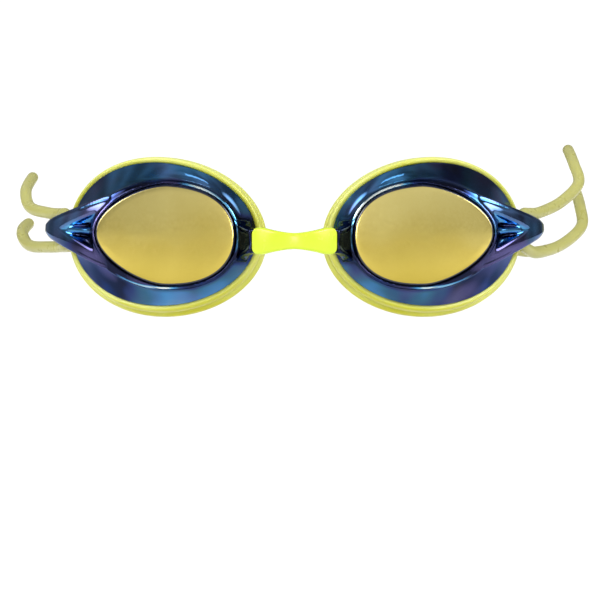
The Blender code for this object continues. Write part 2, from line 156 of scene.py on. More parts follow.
def place_nodes(tree, scale):
    """Add object coordinates, scaled in metres, for a texture."""
    coords = tree.nodes.new("ShaderNodeTexCoord")
    mapping = tree.nodes.new("ShaderNodeMapping")
    mapping.inputs["Scale"].default_value = (scale, scale, scale)
    tree.links.new(coords.outputs["Object"], mapping.inputs["Vector"])
    return mapping.outputs["Vector"]


def noise(tree, scale, detail=3.0):
    """Add a noise texture and give its factor."""
    made = tree.nodes.new("ShaderNodeTexNoise")
    made.inputs["Scale"].default_value = 1.0
    made.inputs["Detail"].default_value = detail
    tree.links.new(place_nodes(tree, scale), made.inputs["Vector"])
    return made.outputs["Fac"]


def coordinate(tree, kind, axis):
    """Give one number of a kind of texture coordinates."""
    coords = tree.nodes.new("ShaderNodeTexCoord")
    parts = tree.nodes.new("ShaderNodeSeparateXYZ")
    tree.links.new(coords.outputs[kind], parts.inputs["Vector"])
    return parts.outputs[axis]


def stored(tree, name):
    """Give a number that tint() has stored on the surface."""
    made = tree.nodes.new("ShaderNodeAttribute")
    made.attribute_name = name
    return made.outputs["Fac"]


def arithmetic(tree, operation, *terms):
    """Do one operation on terms that are numbers or other nodes' results."""
    made = tree.nodes.new("ShaderNodeMath")
    made.operation = operation
    for term, socket in zip(terms, made.inputs):
        if isinstance(term, float):
            socket.default_value = term
        else:
            tree.links.new(term, socket)
    return made.outputs["Value"]


def mix(tree, kind, factor, first, second):
    """Mix two colours or two numbers; each is a value or another node's result."""
    made = tree.nodes.new("ShaderNodeMix")
    made.data_type = kind
    tree.links.new(factor, made.inputs["Factor"])
    for term, name in ((first, "A"), (second, "B")):
        if isinstance(term, (float, tuple)):
            made.inputs[name].default_value = term
        else:
            tree.links.new(term, made.inputs[name])
    return made.outputs["Result"]


def ramp(tree, factor, stops):
    """Turn a factor into a colour."""
    made = tree.nodes.new("ShaderNodeValToRGB")
    elements = made.color_ramp.elements
    while len(elements) < len(stops):
        elements.new(0.5)
    for element, (position, colour) in zip(elements, stops):
        element.position = position
        element.color = (*colour, 1.0)
    tree.links.new(factor, made.inputs["Fac"])
    return made.outputs["Color"]


def spread(tree, factor, low, high, start=0.3, end=0.7):
    """Map a factor, from start to end, onto the range from low to high."""
    made = tree.nodes.new("ShaderNodeMapRange")
    made.inputs["From Min"].default_value = start
    made.inputs["From Max"].default_value = end
    made.inputs["To Min"].default_value = low
    made.inputs["To Max"].default_value = high
    tree.links.new(factor, made.inputs["Value"])
    return made.outputs["Result"]


def bump(tree, shader, factor, distance, strength):
    """Roughen a surface by a height."""
    made = tree.nodes.new("ShaderNodeBump")
    made.inputs["Distance"].default_value = distance
    made.inputs["Strength"].default_value = strength
    tree.links.new(factor, made.inputs["Height"])
    tree.links.new(made.outputs["Normal"], shader.inputs["Normal"])


def mirror_gold():
    """Gold mirror coating, greyer towards the top, that turns lilac at a glancing angle."""
    made, tree, shader = new_material("mirror_gold")
    height = spread(tree, coordinate(tree, "Object", "Z"), 0.2, 0.8,
                    -LENS_HALF_HEIGHT, LENS_HALF_HEIGHT)
    drift = arithmetic(tree, "MULTIPLY_ADD", noise(tree, 50.0, 2.0), 0.4, height)
    colour = ramp(tree, drift, (
        (0.30, (0.34, 0.26, 0.035)), (0.62, (0.50, 0.39, 0.085)), (1.0, (0.66, 0.56, 0.20)),
    ))
    tree.links.new(colour, shader.inputs["Base Color"])
    shader.inputs["Metallic"].default_value = 1.0
    shader.inputs["Specular Tint"].default_value = (0.82, 0.78, 0.95, 1.0)
    tree.links.new(spread(tree, noise(tree, 900.0), 0.10, 0.16), shader.inputs["Roughness"])
    return made


def lens_edge():
    """The lens' uncoated edge and back: very dark, glossy plastic."""
    made, tree, shader = new_material("lens_edge")
    colour = ramp(tree, noise(tree, 300.0), ((0.3, (0.004, 0.005, 0.010)), (0.7, (0.01, 0.012, 0.03))))
    tree.links.new(colour, shader.inputs["Base Color"])
    shader.inputs["Roughness"].default_value = 0.12
    return made


def tinted_blue():
    """Clear blue plastic under a coating whose colour drifts between navy, teal and violet, with the
    painted highlights and painted shade that tint() stores on the eyecup.
    """
    made, tree, shader = new_material("tinted_blue")
    tone_with_painted_light = stored(tree, "tone_with_painted_light")
    swirl = spread(tree, noise(tree, 55.0, 2.0), -0.35, 0.35, 0.25, 0.75)
    # The ramp's pale top also shows the bezel's painted highlights, carried in the stored tone
    blue = ramp(tree, arithmetic(tree, "ADD", swirl, tone_with_painted_light), (
        (0.0, (0.008, 0.010, 0.030)), (0.16, (0.012, 0.028, 0.12)), (0.34, (0.018, 0.09, 0.17)),
        (0.48, (0.03, 0.15, 0.34)), (0.64, (0.045, 0.22, 0.46)), (0.82, (0.12, 0.36, 0.56)),
        (1.0, (0.62, 0.68, 0.66)),
    ))
    patches = spread(tree, noise(tree, 80.0, 1.0), -0.35, 0.55, 0.35, 0.7)
    violet = arithmetic(tree, "ADD", stored(tree, "violet"), patches)
    colour = mix(tree, "RGBA", violet, blue, (0.09, 0.08, 0.21, 1.0))
    tree.links.new(colour, shader.inputs["Base Color"])
    shader.inputs["Metallic"].default_value = 0.9
    shader.inputs["Specular Tint"].default_value = (0.42, 0.50, 0.70, 1.0)
    shader.inputs["Roughness"].default_value = 0.07
    shader.inputs["IOR"].default_value = 1.58
    shader.inputs["Transmission Weight"].default_value = 1.0
    tree.links.new(spread(tree, tone_with_painted_light, 0.04, 0.35, 0.04, 0.32), shader.inputs["Coat Weight"])
    shader.inputs["Coat Roughness"].default_value = 0.03
    return made


def silicone(name, deep, pale, roughness, scatter, radius, painted_glow=0.0):
    """Soft, slightly cloudy rubber that light gets into, with painted light: paler where it faces up,
    deeper where it faces down, and a painted glow if asked.
    """
    made, tree, shader = new_material(name)
    # painted light and shade: the colour leans to pale where the surface faces up and to deep where it
    # faces down
    painted_light_facing = coordinate(tree, "Normal", "Z")
    drift = arithmetic(tree, "MULTIPLY_ADD", painted_light_facing, 0.4, noise(tree, 45.0, 2.0))
    colour = ramp(tree, drift, ((0.15, deep), (0.85, pale)))
    tree.links.new(colour, shader.inputs["Base Color"])
    shader.inputs["Subsurface Weight"].default_value = scatter
    shader.inputs["Subsurface Radius"].default_value = (1.0, 0.9, 0.35)
    shader.inputs["Subsurface Scale"].default_value = radius
    shader.inputs["IOR"].default_value = 1.41
    tree.links.new(spread(tree, noise(tree, 250.0, 2.0), roughness - 0.04, roughness + 0.04),
                   shader.inputs["Roughness"])
    # painted glow: a faint emission in the pale colour
    if painted_glow:
        shader.inputs["Emission Color"].default_value = (*pale, 1.0)
        shader.inputs["Emission Strength"].default_value = painted_glow
    bump(tree, shader, noise(tree, 500.0, 2.0), 0.01 * MM, 0.15)
    return made


# Shapes

def on_eyecup(out, up, back):
    """Place a point of the right eyecup that is measured from its lens centre."""
    along = out * math.cos(RISE_ANGLE) - up * math.sin(RISE_ANGLE)
    height = out * math.sin(RISE_ANGLE) + up * math.cos(RISE_ANGLE)
    x = EYE_HALF_SPACING + along * math.cos(WRAP_ANGLE) - back * math.sin(WRAP_ANGLE)
    y = LENS_CENTRE_BACK + along * math.sin(WRAP_ANGLE) + back * math.cos(WRAP_ANGLE)
    return Vector((x, y - LENS_FORWARD, height))


def on_arch(angle, radius, up):
    """Place a point that is measured about the nose bridge's vertical axis."""
    back = ARCH_CENTRE - radius * math.cos(angle)
    return Vector((radius * math.sin(angle), back - LENS_FORWARD, up - ARCH_DROP))


def lens_outline(turn, grow=0.0):
    """Give the lens outline's point: an ellipse, slimmer at the temple and fuller at the nose."""
    along = math.cos(turn)
    share = 1 - 0.2 * along ** 1.3 if along > 0 else 1 + 0.14 * along * along
    return (
        (LENS_HALF_WIDTH + grow) * along,
        (LENS_HALF_HEIGHT * share + grow) * math.sin(turn),
    )


def rim_outline(turn, grow):
    """Give the rear rim's point, an ellipse seen from the front."""
    return (
        RIM_SHIFT + (RIM_HALF_WIDTH + grow) * math.cos(turn),
        RIM_LIFT + (RIM_HALF_HEIGHT + grow) * math.sin(turn),
    )


def rim_depth(turn):
    """Give the rear rim's depth, a saddle that follows the face round to the temple."""
    along = math.cos(turn)
    return (6.6 + 8.7 * along + 11.4 * along * along) * MM


def turns(count=AROUND):
    """Give evenly spaced angles around a ring."""
    return [2 * math.pi * k / count for k in range(count)]


def smooth_step(value):
    """Ease from 0 to 1."""
    value = min(max(value, 0.0), 1.0)
    return value * value * (3 - 2 * value)


def through(points, share, index):
    """Give a point on the smooth curve through the points, share of the way after one of them."""
    last = len(points) - 1
    before = points[max(index - 1, 0)]
    here = points[index]
    there = points[min(index + 1, last)]
    after = points[min(index + 2, last)]
    leave = (there - before) / 2
    arrive = (after - here) / 2
    return (
        here * (2 * share ** 3 - 3 * share ** 2 + 1)
        + leave * (share ** 3 - 2 * share ** 2 + share)
        + there * (3 * share ** 2 - 2 * share ** 3)
        + arrive * (share ** 3 - share ** 2)
    )


def smooth_table(rows, count):
    """Read count rows off the smooth curve through a table's rows."""
    rows = [np.array(row, float) for row in rows]
    read = []
    for k in range(count):
        place = k / (count - 1) * (len(rows) - 1)
        index = min(int(place), len(rows) - 2)
        read.append(through(rows, place - index, index))
    return read


def rungs(first, count):
    """Close a ring with faces that run straight across it."""
    half = count // 2
    faces = [(first, first + 1, first + count - 1)]
    for k in range(1, half - 1):
        faces.append((first + k, first + k + 1, first + count - k - 1, first + count - k))
    faces.append((first + half - 1, first + half, first + half + 1))
    return faces


def lofted(rings):
    """Join equal rings of points into a body that is closed at both ends."""
    count = len(rings[0])
    points = [Vector(point) for ring in rings for point in ring]
    faces = [tuple(reversed(face)) for face in rungs(0, count)]
    for r in range(len(rings) - 1):
        for k in range(count):
            after = (k + 1) % count
            low, high = r * count, (r + 1) * count
            faces.append((low + k, low + after, high + after, high + k))
    return points, faces + rungs((len(rings) - 1) * count, count)


def ring_shaped(sections):
    """Join equal closed sections, each beside the next, into a closed ring."""
    count = len(sections[0])
    points = [point for section in sections for point in section]
    faces = []
    for s in range(len(sections)):
        near, far = s * count, ((s + 1) % len(sections)) * count
        for k in range(count):
            after = (k + 1) % count
            faces.append((near + k, near + after, far + after, far + k))
    return points, faces


def signed_volume(points, faces):
    """Give a closed mesh's volume, which is negative where its faces point inwards."""
    total = 0.0
    for face in faces:
        first = points[face[0]]
        for second, third in zip(face[1:], face[2:]):
            total += first.dot(points[second].cross(points[third]))
    return total / 6


def piece(name, points, faces, *materials):
    """Add a closed mesh, smooth, with its faces out."""
    if signed_volume(points, faces) < 0:
        faces = [tuple(reversed(face)) for face in faces]
    mesh = bpy.data.meshes.new(name)
    mesh.from_pydata(points, [], faces)
    for surface in materials:
        mesh.materials.append(surface)
    mesh.shade_smooth()
    made = bpy.data.objects.new(name, mesh)
    bpy.context.scene.collection.objects.link(made)
    return made


def mirrored(name, source):
    """Add a mirror image of a piece across the goggles' middle plane."""
    made = source.copy()
    made.data = source.data.copy()
    made.name = made.data.name = name
    bpy.context.scene.collection.objects.link(made)
    flip = bmesh.new()
    flip.from_mesh(made.data)
    bmesh.ops.scale(flip, vec=(-1, 1, 1), verts=flip.verts)
    bmesh.ops.reverse_faces(flip, faces=flip.faces)
    flip.to_mesh(made.data)
    flip.free()
    return made


def settle(made):
    """Apply a piece's modifiers."""
    graph = bpy.context.evaluated_depsgraph_get()
    mesh = bpy.data.meshes.new_from_object(made.evaluated_get(graph))
    made.modifiers.clear()
    old = made.data
    made.data = mesh
    bpy.data.meshes.remove(old)
    mesh.shade_smooth()


def combine(target, other, operation):
    """Cut other out of target, or join it to target, and remove it."""
    boolean = target.modifiers.new(operation, "BOOLEAN")
    boolean.operation = operation
    boolean.object = other
    boolean.solver = "EXACT"
    settle(target)
    bpy.data.objects.remove(other, do_unlink=True)


class Solid:
    """A body as distances to its surface on a fixed grid, negative inside, in voxels."""

    band = 8

    def __init__(self, shape, low, size):
        points, faces = shape
        if signed_volume(points, faces) < 0:
            faces = [tuple(reversed(face)) for face in faces]
        corners = np.array(points, np.float32) / VOXEL
        triangles = [(face[0], second, third) for face in faces
                     for second, third in zip(face[1:], face[2:])]
        grid = openvdb.FloatGrid.createLevelSetFromPolygons(
            corners, triangles=np.array(triangles, np.uint32),
            transform=openvdb.createLinearTransform(1.0), halfWidth=self.band)
        self.low = low
        self.field = np.empty(size, np.float32)
        grid.copyToArray(self.field, ijk=low)

    def join(self, other, fillet):
        """Add another solid, with a fillet of about this radius between them."""
        width = max(fillet / VOXEL, 1e-3)
        blend = np.clip(0.5 + 0.5 * (other.field - self.field) / width, 0, 1)
        self.field = (other.field * (1 - blend) + self.field * blend
                      - width * blend * (1 - blend))

    def cut(self, other, fillet):
        """Take another solid away, with a fillet of about this radius along its edges."""
        self.field = -self.field
        self.join(other, fillet)
        self.field = -self.field

    def soften(self, radius):
        """Ease every edge."""
        reach = math.ceil(3 * radius / VOXEL)
        weights = [math.exp(-0.5 * (k * VOXEL / radius) ** 2) for k in range(-reach, reach + 1)]
        total = sum(weights)
        self.field = np.clip(self.field, -self.band, self.band)
        for axis in range(3):
            eased = np.zeros_like(self.field)
            for k, weight in zip(range(-reach, reach + 1), weights):
                eased += np.roll(self.field, k, axis) * (weight / total)
            self.field = eased

    def surface(self):
        """Give the surface's points and faces."""
        grid = openvdb.FloatGrid(self.band)
        grid.gridClass = openvdb.GridClass.LEVEL_SET
        grid.copyFromArray(self.field, ijk=self.low, tolerance=1e-4)
        points, quads = grid.convertToQuads(isovalue=0.0)
        return [Vector(point) * VOXEL for point in points], [tuple(quad) for quad in quads.tolist()]


# The eyecup

def flat_ring(grow, back):
    """Give a ring that follows the lens' outline at one depth."""
    return [on_eyecup(*lens_outline(turn, grow), back) for turn in turns()]


def eyecup_ring(share, grow, back=0.0):
    """Give the ring of points at a share of the way from the lens to the rear rim."""
    ring = []
    for turn in turns():
        lens_out, lens_up = lens_outline(turn, grow)
        rim_out, rim_up = rim_outline(turn, grow)
        out = lens_out + (rim_out - lens_out) * share
        up = lens_up + (rim_up - lens_up) * share
        ring.append(on_eyecup(out, up, rim_depth(turn) * share + back))
    return ring


def eyecup_body():
    """Loft the eyecup's outside: bezel, collar, flared wall, rim and tongue."""
    bezel = (GAP + BEZEL_WIDTH) / MM
    # Share of the way from the lens to the rim, then how far out and back of it, in mm
    wall = smooth_table((
        (0.0, bezel, 1.6), (0.12, 0.95, 1.5), (0.28, 0.5, 0.9), (0.45, 0.3, 0.4),
        (0.65, 0.15, 0.1), (0.85, 0.0, 0.0), (0.94, 0.0, 0.0),
    ), 20)
    rings = [flat_ring(grow * MM, BEZEL_RECESS + back * MM)
             for grow, back in ((bezel - 0.75, 0.0), (bezel - 0.35, 0.1), (bezel - 0.1, 0.35),
                                (bezel, 0.8))]
    rings += [eyecup_ring(share, grow * MM, back * MM) for share, grow, back in wall]
    rings.append(eyecup_ring(1.0, 0.05 * MM))
    for depth in (0.0, TONGUE_DEPTH):
        rings.append([
            on_eyecup(*rim_outline(turn, -TONGUE_INSET), rim_depth(turn) + depth)
            for turn in turns()
        ])
    return lofted(rings)


def eyecup_hollow():
    """Loft the space for the eye, from in front of the lens to behind the rim."""
    # Share of the way from the lens to the rim, then how far out and back of it, in mm
    wall = smooth_table((
        (0.0, -1.2, 2.3), (0.2, -1.6, 1.9), (0.4, -2.0, 1.2), (0.7, -2.0, 0.3), (1.0, -2.0, 0.0),
    ), 12)
    rings = [flat_ring(-LEDGE_WIDTH, -3 * MM)]
    rings += [eyecup_ring(share, grow * MM, back * MM) for share, grow, back in wall]
    rings.append(eyecup_ring(1.0, -WALL, 4 * MM))
    return lofted(rings)


def beyond_lens(out, up):
    """Give about how far a point of the eyecup's front lies outside the lens' edge."""
    turn = math.atan2(up / LENS_HALF_HEIGHT, out / LENS_HALF_WIDTH)
    return math.hypot(out, up) - math.hypot(*lens_outline(turn))


def between(value, low, high, ease):
    """Give 1 between two values and 0 outside them, with eased ends."""
    return smooth_step((value - low) / ease) * (1 - smooth_step((value - high) / ease))


def arm_groove(out, up, half):
    """Give 1 in the grooves beside the arm's ribs, which run on along the bezel, and 0 elsewhere."""
    groove = between(abs(up), half - RIB_WIDTH, half - RIB_WIDTH + 0.5 * MM, 0.4 * MM)
    groove *= between(out, 5 * MM, 26 * MM, 3 * MM)
    return groove * smooth_step((beyond_lens(out, up) - 1.6 * MM) / (0.5 * MM))


def arm_relief(out, up, half):
    """Give how far the arm's front is sunk: a triangle with a fin, two pockets, and grooves."""
    reach = TRIANGLE_HALF_HEIGHT * (TRIANGLE_TIP - out) / (TRIANGLE_TIP - TRIANGLE_BASE)
    inside = smooth_step((reach - abs(up)) / (0.7 * MM))
    inside *= smooth_step((beyond_lens(out, up) - 2.0 * MM) / (0.6 * MM))
    fin = 1 - smooth_step((abs(up) - FIN_HALF_WIDTH) / (0.5 * MM))
    leaf = FIN_HALF_WIDTH + 0.4 * MM + 1.5 * MM * (POCKET_END + 1.5 * MM - out) / (8 * MM)
    pocket = between(abs(up), FIN_HALF_WIDTH + 0.2 * MM, leaf, 0.5 * MM)
    pocket *= between(out, POCKET_START, POCKET_END, 0.8 * MM)
    sunk = TRIANGLE_DEPTH * inside * (1 - 0.7 * fin) + POCKET_DEPTH * pocket
    return sunk + GROOVE_DEPTH * arm_groove(out, up, half)


ARM_SHAPE = smooth_table((
    (11.2, 6.0), (9.5, 5.8), (7.5, 5.1), (5.8, 4.2), (4.4, 3.4), (3.2, 2.8), (1.7, 2.2),
), 60)                              # half its height and its depth, from root to tip


def arm_half(out):
    """Give half the arm's height at a distance from the lens centre."""
    if out < ARM_ROOT:
        share = max((out - MM) / (ARM_ROOT - MM), 0.0)
        widest = LENS_HALF_HEIGHT + GAP + BEZEL_WIDTH
        return widest - (widest - ARM_SHAPE[0][0] * MM) * share ** 2
    turn = min((out - ARM_ROOT) / ARM_RADIUS + math.sin(ARM_START), math.sin(ARM_END))
    share = (math.asin(turn) - ARM_START) / (ARM_END - ARM_START)
    return ARM_SHAPE[min(round(share * (len(ARM_SHAPE) - 1)), len(ARM_SHAPE) - 1)][0] * MM


def arm_section(out, back, heading, half, thickness):
    """Give one section across the arm, with its ribs and the sunken middle between them."""
    across = 90
    section = []
    for k in range(across + 1):
        up = half * (2 * k / across - 1)
        crown = 0.9 * MM * abs(up / half) ** 8
        section.append((up, crown + arm_relief(out, up, half)))
    for k in range(across - 1):
        up = half * (1 - 2 * (k + 1) / across)
        section.append((up, thickness - 0.9 * MM * abs(up / half) ** 8))
    return [
        on_eyecup(out - depth * math.sin(heading), up, back + depth * math.cos(heading))
        for up, depth in section
    ]


def arm_body():
    """Loft the strap arm, from the bezel's flanks round to its tip beside the temple."""
    sections = []
    steps = 24
    for k in range(steps):
        share = k / steps
        out = MM + (ARM_ROOT - MM) * share
        back = 0.6 * MM * share + 1.6 * MM * max(1 - 2 * share, 0.0) ** 2 + 0.5 * MM * (1 - share)
        sections.append(arm_section(out, back, 0.0, arm_half(out), 6.0 * MM))
    for k, (half, deep) in enumerate(ARM_SHAPE):
        heading = ARM_START + (ARM_END - ARM_START) * k / (len(ARM_SHAPE) - 1)
        out = ARM_ROOT + ARM_RADIUS * (math.sin(heading) - math.sin(ARM_START))
        back = ARM_ROOT_BACK + ARM_RADIUS * (math.cos(ARM_START) - math.cos(heading))
        sections.append(arm_section(out, back, heading, half * MM, deep * MM))
    return lofted(sections)


def bar_body():
    """Loft the short round-edged bar between the rim and the arm's tip."""
    rings = []
    for out in (31.0 * MM, 40.3 * MM):
        ring = []
        for turn in turns(24):
            up = BAR_HALF_HEIGHT * math.copysign(abs(math.sin(turn)) ** 0.6, math.sin(turn))
            back = math.copysign(abs(math.cos(turn)) ** 0.8, -math.cos(turn))
            ring.append(on_eyecup(out, up, BAR_FRONT + BAR_THICKNESS / 2 * (1 + back)))
        rings.append(ring)
    return lofted(rings)


def arch_section(angle, inside, outside, half_height, corner):
    """Give one section across the arch: a rectangle with round corners."""
    count = 6
    section = []
    quarters = (
        (outside - corner, half_height - corner, 0.0),
        (inside + corner, half_height - corner, 0.5 * math.pi),
        (inside + corner, -half_height + corner, math.pi),
        (outside - corner, -half_height + corner, 1.5 * math.pi),
    )
    for radius, up, start in quarters:
        for k in range(count):
            turn = start + 0.5 * math.pi * k / (count - 1)
            section.append(on_arch(angle, radius + corner * math.cos(turn),
                                   up + corner * math.sin(turn)))
    return section


def tab_plate():
    """Loft the thin end of the nose tab, which lies behind the bridge's pad."""
    inside = TAB_PLATE_OUTSIDE - TAB_PLATE_THICKNESS
    end = ARCH_END + math.radians(7)
    # Share of its length and half its height, in mm
    stations = ((0.0, 1.7), (0.04, 2.2), (0.1, 2.5), (0.2, 2.8), (0.5, 3.3), (1.0, 3.7))
    return lofted([
        arch_section(TAB_START + (end - TAB_START) * share, inside, TAB_PLATE_OUTSIDE,
                     half * MM, 0.6 * MM)
        for share, half in stations
    ])


def tab_root():
    """Loft the nose tab's thick part, from beside the pad's end back into the eyecup."""
    start = math.degrees(ARCH_END + GAP / ARCH_RADIUS * 1.3)
    # Degrees from the middle, then its inside radius and half its height, in mm
    stations = smooth_table((
        (start, 12.6, 3.6), (54.0, 13.1, 3.7), (61.0, 13.7, 4.0), (70.0, 14.0, 4.5),
        (79.0, 14.0, 5.2), (88.0, 14.0, 5.8), (100.0, 14.0, 5.8),
    ), 24)
    return lofted([
        arch_section(math.radians(angle), inside * MM, ARCH_RADIUS, half * MM, 0.7 * MM)
        for angle, inside, half in stations
    ])


def tab_scoop():
    """Loft the hollow in the tab's front, which leaves a lip along its top and its bottom."""
    # Degrees from the middle, then its inside radius and half its height, in mm
    stations = smooth_table((
        (50.0, 17.6, 2.0), (55.0, 17.1, 2.4), (61.0, 16.7, 2.9), (68.0, 16.7, 3.5),
        (74.0, 16.9, 4.0), (79.0, 17.4, 4.4),
    ), 20)
    return lofted([
        arch_section(math.radians(angle), inside * MM, ARCH_RADIUS + 2.5 * MM, half * MM, 0.9 * MM)
        for angle, inside, half in stations
    ])


def radial_block(angle, inside, outside, half_width, half_height):
    """Build a block with round edges that points away from the arch's axis."""
    corner = 0.3 * MM
    across = Vector((math.cos(angle), math.sin(angle), 0))
    rings = []
    for radius, shrink in ((inside, corner), (inside + corner, 0.0), (outside, 0.0)):
        ring = []
        for turn in turns(24):
            wide = (half_width - shrink) * math.copysign(abs(math.cos(turn)) ** 0.5, math.cos(turn))
            high = (half_height - shrink) * math.copysign(abs(math.sin(turn)) ** 0.5, math.sin(turn))
            ring.append(on_arch(angle, radius, high) + across * wide)
        rings.append(ring)
    return lofted(rings)


def bezel_painted_highlight(out, up):
    """Give 1 on the bezel's two painted highlights: pale lines on its upper nose side and its lower
    temple side.
    """
    beyond = beyond_lens(out, up)
    nose = between(beyond, 0.35 * MM, 1.2 * MM, 0.3 * MM)
    nose *= smooth_step((-2 * MM - out) / (5 * MM)) * smooth_step((up + 6 * MM) / (4 * MM))
    beyond -= 1.3 * MM * smooth_step((out + 2 * MM) / (14 * MM))
    temple = between(beyond, 0.35 * MM, 1.0 * MM, 0.3 * MM)
    temple *= between(out, -6 * MM, 12 * MM, 5 * MM) * smooth_step((-4 * MM - up) / (3 * MM))
    return nose + temple


def from_eyecup(point):
    """Measure a point of the right eyecup from its lens centre: outwards, up and back."""
    x = point.x - EYE_HALF_SPACING
    y = point.y + LENS_FORWARD - LENS_CENTRE_BACK
    along = x * math.cos(WRAP_ANGLE) + y * math.sin(WRAP_ANGLE)
    back = y * math.cos(WRAP_ANGLE) - x * math.sin(WRAP_ANGLE)
    out = along * math.cos(RISE_ANGLE) + point.z * math.sin(RISE_ANGLE)
    up = point.z * math.cos(RISE_ANGLE) - along * math.sin(RISE_ANGLE)
    return out, up, back


def arm_front(out):
    """Give how far back the arm's front lies at a distance from the lens centre."""
    turn = min(max((out - ARM_ROOT) / ARM_RADIUS + math.sin(ARM_START), 0.0), 1.0)
    heading = max(math.asin(turn), ARM_START)
    return ARM_ROOT_BACK + ARM_RADIUS * (math.cos(ARM_START) - math.cos(heading))


def tones(point):
    """Give how blue and how violet the coating is at a point of the right eyecup, with painted
    highlights on the bezel and painted shade in the arm's grooves and pockets.
    """
    out, up, back = from_eyecup(point)
    turn = math.atan2(up / LENS_HALF_HEIGHT, out / LENS_HALF_WIDTH)
    # The wall: bluer towards the rim, and darkest low at the temple
    blue = 0.36 + 0.20 * smooth_step(back / rim_depth(turn)) + 0.12 * math.sin(3 * turn + 1.0)
    blue -= smooth_step(-up / (5 * MM)) * (0.05 + 0.42 * smooth_step((out - 6 * MM) / (12 * MM)))
    violet = 0.35 * smooth_step((out - 12 * MM) / (12 * MM))
    # The nose tab: dark
    on_tab = smooth_step((19.5 * MM - point.x) / (2.5 * MM))
    on_tab *= smooth_step((9 * MM - abs(up)) / (3 * MM))
    blue -= 0.30 * on_tab
    violet -= 0.5 * on_tab
    # The bezel: dark, but for its two pale lines of painted highlight
    in_front = 1 - smooth_step((back - 2.0 * MM) / (1.5 * MM))
    by_lens = 1 - smooth_step((beyond_lens(out, up) - 1.2 * MM) / (1.6 * MM))
    # painted highlight: pale lines on the bezel that stand in for reflected light
    painted_highlight = bezel_painted_highlight(out, up) * in_front
    blue += painted_highlight - 0.30 * by_lens * in_front
    violet -= painted_highlight
    # The arm: violet above, dark below, with painted shade in the grooves and the pockets, blue in the
    # triangle and at the tip
    half = arm_half(out)
    sunk = arm_relief(out, up, half)
    on_arm = smooth_step((half + 0.8 * MM - abs(up)) / (0.8 * MM))
    on_arm *= 1 - smooth_step((back - arm_front(out) - 3.5 * MM) / (2 * MM))
    on_arm *= smooth_step((out - 16 * MM) / (5 * MM))
    at_tip = on_arm * smooth_step((out - 27 * MM) / (8 * MM))
    blue -= 0.10 * on_arm * smooth_step((2 * MM - up) / (4 * MM))
    blue += 0.14 * on_arm * smooth_step(sunk / (1.0 * MM)) + 0.30 * at_tip
    # painted shade: the two pockets darkened
    blue -= 0.75 * on_arm * smooth_step((sunk - TRIANGLE_DEPTH) / (0.8 * MM))
    # painted shade: the grooves darkened
    blue -= 0.35 * arm_groove(out, up, half) * in_front
    violet += on_arm * (0.15 + 0.25 * smooth_step(up / (4 * MM)))
    violet -= 0.8 * on_arm * smooth_step(sunk / (0.8 * MM)) + 0.15 * at_tip
    return 0.8 * blue, violet


def tint(made):
    """Store the coating's tones, with their painted highlights and painted shade, on a piece."""
    values = [tones(vertex.co) for vertex in made.data.vertices]
    for index, name in enumerate(("tone_with_painted_light", "violet")):
        layer = made.data.attributes.new(name, "FLOAT", "POINT")
        layer.data.foreach_set("value", [row[index] for row in values])


def make_eyecup(surface):
    """Build the right eyecup in one piece with its strap arm, bar and nose tab."""
    low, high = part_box("eyecup_right")
    margin = 6                      # voxels of free space around it
    start = tuple(math.floor(value / VOXEL) - margin for value in low)
    size = tuple(math.ceil(value / VOXEL) + margin - first for value, first in zip(high, start))
    hole = radial_block(PIN_ANGLE, 9 * MM, ARCH_RADIUS, PIN_HALF_WIDTH + GAP, PIN_HALF_HEIGHT + GAP)
    pocket = lofted([flat_ring(GAP, -3 * MM), flat_ring(GAP, LENS_THICKNESS + GAP)])
    eyecup = Solid(eyecup_body(), start, size)
    for shape, fillet in ((arm_body(), 1.0 * MM), (tab_root(), 1.6 * MM), (tab_plate(), 0.3 * MM),
                          (bar_body(), 0.5 * MM)):
        eyecup.join(Solid(shape, start, size), fillet)
    for shape, fillet in ((tab_scoop(), 0.8 * MM), (eyecup_hollow(), 0.4 * MM),
                          (pocket, 0.1 * MM), (hole, 0.1 * MM)):
        eyecup.cut(Solid(shape, start, size), fillet)
    eyecup.soften(0.3 * MM)
    made = piece("eyecup_shell_right", *eyecup.surface(), surface)
    tint(made)
    return made


# The lens, gasket, bridge, strap and clip

def make_lens(front, edge):
    """Build the right lens: a low mirrored dome, a rounded edge and a plain back."""
    shares = [0.06 + 0.88 * k / 11 for k in range(12)]
    rings = [
        [on_eyecup(*[share * size for size in lens_outline(turn)],
                   -LENS_DOME * (1 - share * share)) for turn in turns()]
        for share in shares
    ]
    fillet = 0.7 * MM
    for k in range(7):
        turn = 0.5 * math.pi * k / 6
        rings.append(flat_ring(-fillet * (1 - math.sin(turn)), fillet * (1 - math.cos(turn))))
    rings.append(flat_ring(0.0, LENS_THICKNESS - 0.3 * MM))
    rings.append(flat_ring(-0.3 * MM, LENS_THICKNESS))
    lens = piece("lens_pane_right", *lofted(rings), front, edge)
    coated = (len(shares) + 2) * AROUND
    for face in lens.data.polygons:
        if max(face.vertices) >= coated:
            face.material_index = 1
    return lens


